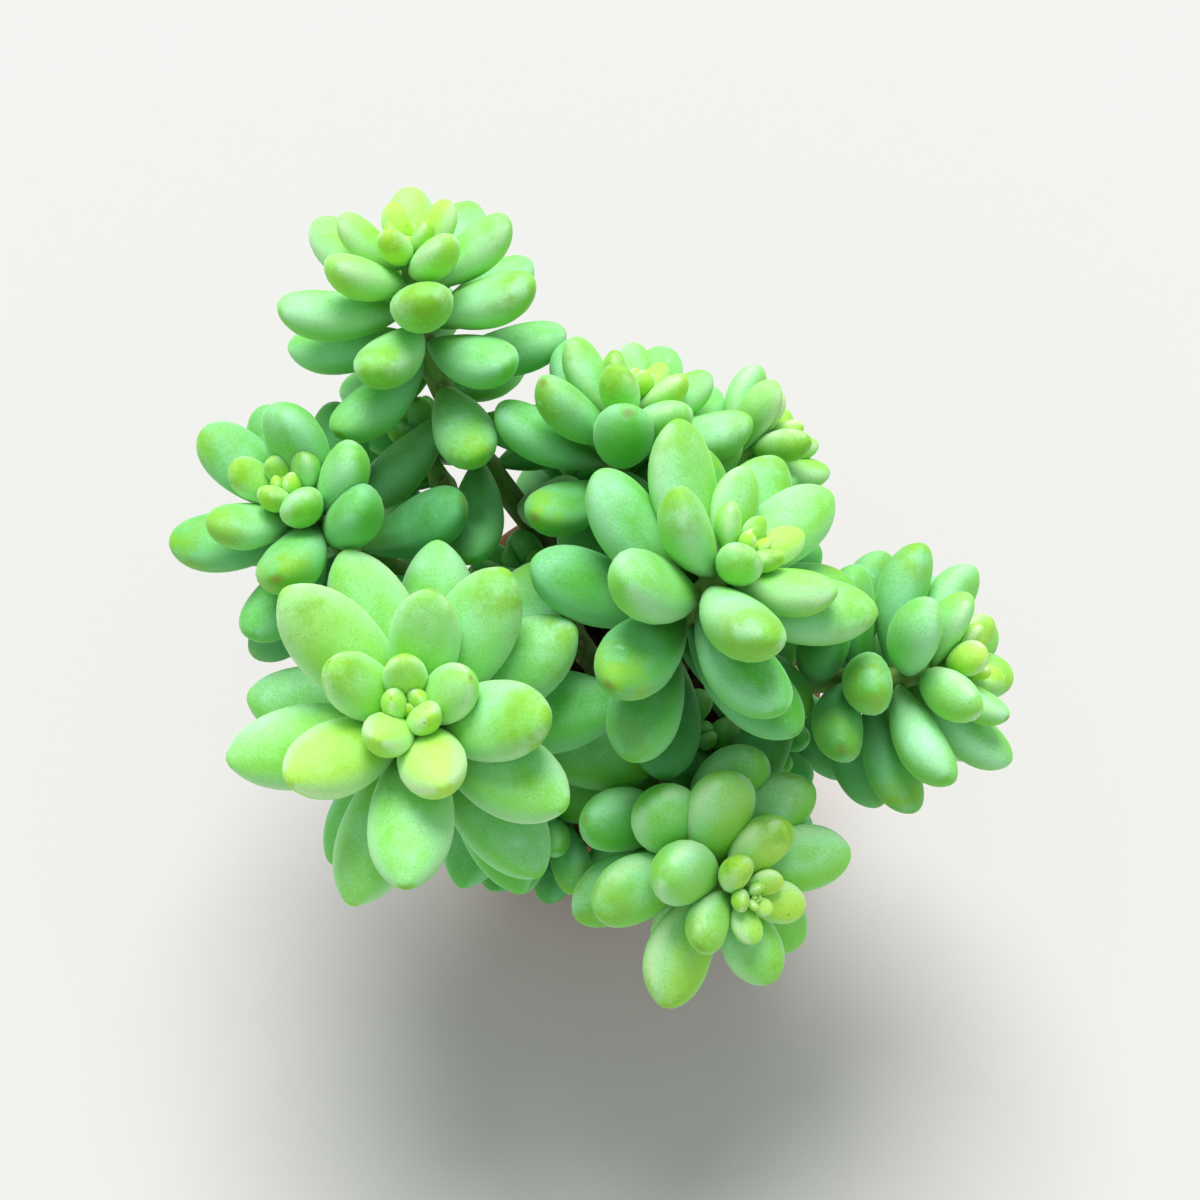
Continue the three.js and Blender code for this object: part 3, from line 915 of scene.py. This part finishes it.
# The points of a turned grid that is closed on the axis at a bottom and a top, and the faces of as
# many copies of it.
def closedNet(grid, bottom, top, copies=1):
    points = np.concatenate([grid.reshape(-1, 3), [[0, 0, bottom], [0, 0, top]]])
    return points, closedFaces(*grid.shape[:2], copies)


def makeClayMaterial(finish):
    material, tree, shader, coordinates = newMaterial("unglazed_clay")
    height = addNode(tree, "ShaderNodeSeparateXYZ", {0: coordinates}).outputs[2]
    cloud = addGroup(tree, clouding, coordinates, finish["cloud"])
    colour = addMix(tree, cloud, finish["body"], finish["pale"])

    # the marks of the wheel, and minerals that have come through the clay low down
    bands = addStretch(tree, coordinates, finish["markBands"])
    marks = addNoise(tree, bands, **finish["markNoise"])
    colour = addMix(tree, addRange(tree, marks, *finish["markDepth"]), colour, finish["deep"])
    stain = addGroup(tree, clouding, coordinates, finish["stain"])
    low = addRange(tree, height, *finish["mineralHeight"])
    mineral = multiply(tree, stain, low, finish["mineralShare"])
    colour = addMix(tree, mineral, colour, finish["mineral"])

    # the rim is damp under the leaves, so algae stain its top and inside olive, and the same darkening
    # is painted shade under the leaves
    damp = addRange(tree, height, *finish["dampHeight"])
    algaeAndShade = multiply(tree, damp, addRange(tree, cloud, *finish["dampCloud"]))
    colour = addMix(tree, algaeAndShade, colour, finish["algaeAndShade"])
    grit = addGroup(tree, specks, coordinates, finish["gritSpecks"])
    colour = addMix(tree, multiply(tree, grit, finish["gritShare"]), colour, finish["grit"])

    grain = addNoise(tree, coordinates, **finish["grainNoise"])
    rough = addBump(tree, grain, **finish["grain"])
    lines = addBump(tree, marks, **finish["marks"], over=rough)
    feed(tree, shader, {**finish["shader"], "Base Color": colour, "Normal": lines})
    return material


# The pot's profile as [radius, height], from under the middle of its foot, up the outside and down
# the inside, to the middle of its floor.
def potLine():
    corners = [
        [0, 0],
        [pot["footRadius"], 0],
        [pot["shoulderRadius"], rimFoot],
        [pot["rimRadius"], rimFoot],
        [pot["rimRadius"], pot["height"]],
        [potBore(pot["height"]), pot["height"]],
        [potBore(rimFoot), rimFoot],
        [potBore(pot["floor"]), pot["floor"]],
        [0, pot["floor"]],
    ]
    rounded = roundedLine(np.array(corners, float), pot["rounding"], pot["bendSteps"])
    return finerLine(rounded, pot["step"])


# Tubes through the pot's floor, a little longer than it is thick, that cut its drain holes.
def makeDrainCutter():
    bottom, top = -drain["past"], pot["floor"] + drain["past"]
    tube = np.array([[0, bottom], [drain["radius"], bottom], [drain["radius"], top], [0, top]], float)
    net, faces = closedNet(turnedGrid(tube, drain["sides"]), bottom, top, drain["count"])
    bearings = 2 * np.pi * (np.arange(drain["count"]) + 0.5) / drain["count"]
    across = np.stack([np.cos(bearings), np.sin(bearings), np.zeros(drain["count"])], -1)
    middles = drain["fromMiddle"] * across
    return makeObject("drain_cutter", net[None] + middles[:, None], faces, smooth=False)


# Cuts the cutter's shape out of a piece and keeps the result as the piece's own mesh.
def cutAway(made, cutter):
    cut = made.modifiers.new("cut", "BOOLEAN")
    cut.object = cutter
    cut.solver = "EXACT"
    bpy.context.view_layer.update()
    evaluated = made.evaluated_get(bpy.context.evaluated_depsgraph_get())
    mesh = bpy.data.meshes.new_from_object(evaluated)
    made.modifiers.clear()
    made.data = mesh
    bpy.data.objects.remove(cutter)


# The pot is its profile turned once round, with faint marks of the turning: its radius wanders a
# little, by a sum of sine waves up the pot and one of cosine waves round it.
def makePot(material):
    grid = turnedGrid(potLine(), pot["sides"])
    heights, angles = grid[..., 2], anglesRound(pot["sides"])
    ripples = sum(size * np.sin(heights * rate + phase) for rate, phase, size in pot["ripples"])
    lobes = sum(size * np.cos(waves * angles + phase) for waves, phase, size in pot["lobes"])
    wander = (pot["ripple"] * ripples + pot["roundness"] * lobes) * smoothStep(heights, *pot["steady"])
    grid[..., :2] *= (1 + wander / pot["rimRadius"])[..., None]
    points, faces = closedNet(grid, 0, pot["floor"])
    made = makeObject("clay_pot", points, faces, material)
    cutAway(made, makeDrainCutter())
    made.data.set_sharp_from_angle(angle=np.radians(pot["sharpAngle"]))
    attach(made, "root")
    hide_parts("pot")


makePot(makeClayMaterial(clayFinish))
print("pot turned")

# Potting mix

# The mix is a gap clear of the pot. Its lumps are a sum of waves between shortest and longest, and
# its lip is how far its side ends below its edge.
soil = {
    "gap": 0.3, "lumps": 0.45, "waves": 26, "longest": 9.0, "shortest": 2.2, "sides": 120,
    "lip": 1.0, "wallStep": 6.0, "rings": 44, "innermost": 0.4, "seed": 41,
}
soilRadius = potBore(soilLevel["edge"]) - soil["gap"]
# The kinds are a soil crumb, a chip of bark and a grain of perlite. growth is how much larger the
# chips and grains are than crumbs, and lift how far all are raised, next to their size.
crumbs = {
    "count": 1500, "smallest": 0.3, "largest": 1.0, "smallness": 2.2, "fromWall": 0.9,
    "fromStem": 0.5, "kinds": (0.0, 0.6, 1.0), "kindShares": (0.84, 0.1, 0.06), "growth": 1.35,
    "stretch": (0.65, 1.25), "chipStretch": (1.9, 0.8, 0.4), "chipTurn": 0.25, "waves": 3,
    "waveRate": 2.2, "dents": 0.13, "lift": 0.25, "seed": 42,
}
soilFinish = {
    "dark": paint("20150f"),
    "brown": paint("4a3324"),
    "bark": paint("7a4f30"),
    "perlite": paint("dedbd0"),
    "cloud": {"Broad": 350.0, "Fine": 2500.0, "Fine Share": 0.5, "Low": 0.35, "High": 0.68},
    "grainNoise": {"scale": 2600.0, "detail": 5.0},
    "grain": {"strength": 0.8, "distance": 0.0004},
    "chipKind": 0.4,
    "perliteKind": 0.8,
    "perliteStain": 0.35,
    "shader": {"Roughness": 0.95, "Specular IOR Level": 0.2},
}


# The height of the mix: heaped in the middle, with a sum of waves of random direction for lumps.
def soilHeight(x, y):
    rng = np.random.default_rng(soil["seed"])
    share = np.hypot(x, y) / soilRadius
    heap = (soilLevel["crown"] - soilLevel["edge"]) * (1 - share**2)
    directions = rng.uniform(0, 2 * np.pi, soil["waves"])
    lengths = rng.uniform(soil["shortest"], soil["longest"], soil["waves"])
    phases = rng.uniform(0, 2 * np.pi, soil["waves"])
    turns = (x[..., None] * np.cos(directions) + y[..., None] * np.sin(directions)) / lengths
    waves = (np.sin(2 * np.pi * turns + phases) * lengths).sum(-1)
    lumps = waves / lengths.mean() / np.sqrt(soil["waves"])
    return soilLevel["edge"] + heap + soil["lumps"] * lumps


def makeSoilMaterial(finish):
    material, tree, shader, coordinates = newMaterial("potting_mix")
    kind, tone, _ = addAttribute(tree, "grainKind")
    cloud = addGroup(tree, clouding, coordinates, finish["cloud"])
    shade = multiply(tree, addMath(tree, "ADD", cloud, tone), 0.5)
    colour = addMix(tree, shade, finish["dark"], finish["brown"])
    bark = addMix(tree, cloud, finish["bark"], finish["brown"])
    isChip = addMath(tree, "GREATER_THAN", kind, finish["chipKind"])
    colour = addMix(tree, isChip, colour, bark)
    stain = multiply(tree, cloud, finish["perliteStain"])
    perlite = addMix(tree, stain, finish["perlite"], finish["bark"])
    isPerlite = addMath(tree, "GREATER_THAN", kind, finish["perliteKind"])
    colour = addMix(tree, isPerlite, colour, perlite)
    grain = addBump(tree, addNoise(tree, coordinates, **finish["grainNoise"]), **finish["grain"])
    feed(tree, shader, {**finish["shader"], "Base Color": colour, "Normal": grain})
    return material


# The mix fills the pot's inside up to its lip, and its top follows soilHeight.
def makeSoilBed(material):
    bottom = pot["floor"] + soil["gap"]
    side = [
        [0, bottom],
        [potBore(bottom) - soil["gap"], bottom],
        [potBore(rimFoot) - soil["gap"], rimFoot],
        [soilRadius, soilLevel["edge"] - soil["lip"]],
    ]
    wall = finerLine(np.array(side, float), soil["wallStep"])
    radii = np.append(np.linspace(soilRadius, soil["innermost"], soil["rings"]), 0)
    top = np.stack([radii, np.full(len(radii), soilLevel["crown"])], -1)
    grid = turnedGrid(np.concatenate([wall, top]), soil["sides"])
    onTop = slice(len(wall) - 1, None)
    grid[onTop, :, 2] = soilHeight(grid[onTop, :, 0], grid[onTop, :, 1])
    crown = soilHeight(np.array([0.0]), np.array([0.0]))[0]
    made = makeObject("potting_mix_bed", *closedNet(grid, bottom, crown), material)
    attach(made, "root")
    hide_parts("soil")


# The corners and faces of a ball of twenty triangles, each cut in four.
def ballNet():
    shape = bmesh.new()
    bmesh.ops.create_icosphere(shape, subdivisions=2, radius=1.0)
    corners = np.array([vertex.co[:] for vertex in shape.verts])
    faces = np.array([[vertex.index for vertex in face.verts] for face in shape.faces])
    shape.free()
    return corners, faces


# Places strewn evenly over the mix, clear of the stems.
def crumbPlaces(rng):
    reach = soilRadius - crumbs["fromWall"]
    radius = reach * np.sqrt(rng.random(crumbs["count"]))
    bearing = rng.uniform(0, 2 * np.pi, crumbs["count"])
    x, y = radius * np.cos(bearing), radius * np.sin(bearing)
    feet = np.array([shoot["foot"] for shoot in shoots.values()], float)
    nearest = np.hypot(x[:, None] - feet[:, 0], y[:, None] - feet[:, 1]).min(1)
    clear = nearest > stem["radius"] + crumbs["fromStem"]
    return x[clear], y[clear]


# Crumbs, bark chips and pale grains: balls pushed in and out by a few waves, stretched and turned.
# The chips are flat, and turn so little that they lie on the mix.
def makeCrumbs(material):
    rng = np.random.default_rng(crumbs["seed"])
    x, y = crumbPlaces(rng)
    count = len(x)
    spread = crumbs["largest"] - crumbs["smallest"]
    size = crumbs["smallest"] + spread * rng.random(count) ** crumbs["smallness"]
    kind = rng.choice(crumbs["kinds"], count, p=crumbs["kindShares"])
    crumb, chip, _ = crumbs["kinds"]
    size = np.where(kind > crumb, size * crumbs["growth"], size)
    chips = kind == chip
    stretch = rng.uniform(*crumbs["stretch"], (count, 3))
    stretch[chips] *= np.array(crumbs["chipStretch"])
    corners, faces = ballNet()
    waves = rng.normal(size=(count, 3, crumbs["waves"])) * crumbs["waveRate"]
    phases = rng.uniform(0, 2 * np.pi, (count, 1, crumbs["waves"]))
    ups = np.sin(np.einsum("vk,nkw->nvw", corners, waves) + phases).sum(-1)
    dents = 1 + crumbs["dents"] * ups
    shaped = corners[None] * dents[..., None] * (stretch * size[:, None])[:, None]
    turns, _ = np.linalg.qr(rng.normal(size=(count, 3, 3)))
    turns[:, :, 0] *= np.sign(np.linalg.det(turns))[:, None]
    turns[chips] = np.eye(3) + crumbs["chipTurn"] * (turns[chips] - np.eye(3))
    shaped = np.einsum("nij,nvj->nvi", turns, shaped)
    middle = np.stack([x, y, soilHeight(x, y) + crumbs["lift"] * size], -1)
    grain = np.stack([kind, rng.random(count), np.zeros(count)], -1)
    values = {"grainKind": np.repeat(grain[:, None], len(corners), axis=1)}
    allFaces = repeatFaces(faces, count, len(corners))
    made = makeObject("potting_mix_crumbs", shaped + middle[:, None], allFaces, material, values)
    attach(made, "root")


soilMaterial = makeSoilMaterial(soilFinish)
makeSoilBed(soilMaterial)
makeCrumbs(soilMaterial)
print("potting mix laid")

# Floor and light

floor = {
    "size": 3000, "colour": paint("cdced0"), "shade": (0.6, 0.6, 0.55, 1), "shadeShare": 0.05,
    "cloud": {"Broad": 6.0, "Fine": 500.0}, "roughness": 0.9,
}
sun = {"towards": (0.04, -0.52, -0.92), "spread": 34, "power": 3.45, "colour": (1.0, 0.97, 0.92)}
world = {"colour": (0.92, 0.96, 0.94, 1.0), "strength": 0.55, "seen": (0.83, 0.83, 0.82, 1.0)}


def makeFloor(settings):
    half = settings["size"] / 2
    corners = [(-half, -half, 0), (half, -half, 0), (half, half, 0), (-half, half, 0)]
    material, tree, shader, coordinates = newMaterial("floor_paper")
    cloud = addGroup(tree, clouding, coordinates, settings["cloud"])
    shadeShare = multiply(tree, cloud, settings["shadeShare"])
    colour = addMix(tree, shadeShare, settings["colour"], settings["shade"])
    feed(tree, shader, {"Base Color": colour, "Roughness": settings["roughness"]})
    made = makeObject("floor", corners, [(0, 1, 2, 3)], material, smooth=False)


# Daylight through a wide pale screen: a sun with a broad face.
def makeSun(settings):
    data = bpy.data.lights.new("sun", "SUN")
    data.energy = settings["power"]
    data.angle = np.radians(settings["spread"])
    data.color = settings["colour"]
    made = addObject("sun", data)
    made.rotation_euler = Vector(settings["towards"]).to_track_quat("-Z", "Y").to_euler()


# Soft light from all round. Where the camera sees past the floor, it is as pale as the floor.
def makeWorld(settings):
    made = bpy.data.worlds.new("sky")
    made.use_nodes = True
    tree = made.node_tree
    tree.nodes.clear()
    shining = {"Color": settings["colour"], "Strength": settings["strength"]}
    light = addNode(tree, "ShaderNodeBackground", shining).outputs[0]
    seen = addNode(tree, "ShaderNodeBackground", {"Color": settings["seen"]}).outputs[0]
    straight = tree.nodes.new("ShaderNodeLightPath").outputs["Is Camera Ray"]
    blend = addNode(tree, "ShaderNodeMixShader", {0: straight, 1: light, 2: seen}).outputs[0]
    addNode(tree, "ShaderNodeOutputWorld", {"Surface": blend})
    bpy.context.scene.world = made


makeFloor(floor)
makeSun(sun)
makeWorld(world)
bpy.context.scene.view_settings.view_transform = "Standard"  # keeps the light greens clear
print("floor and light set")
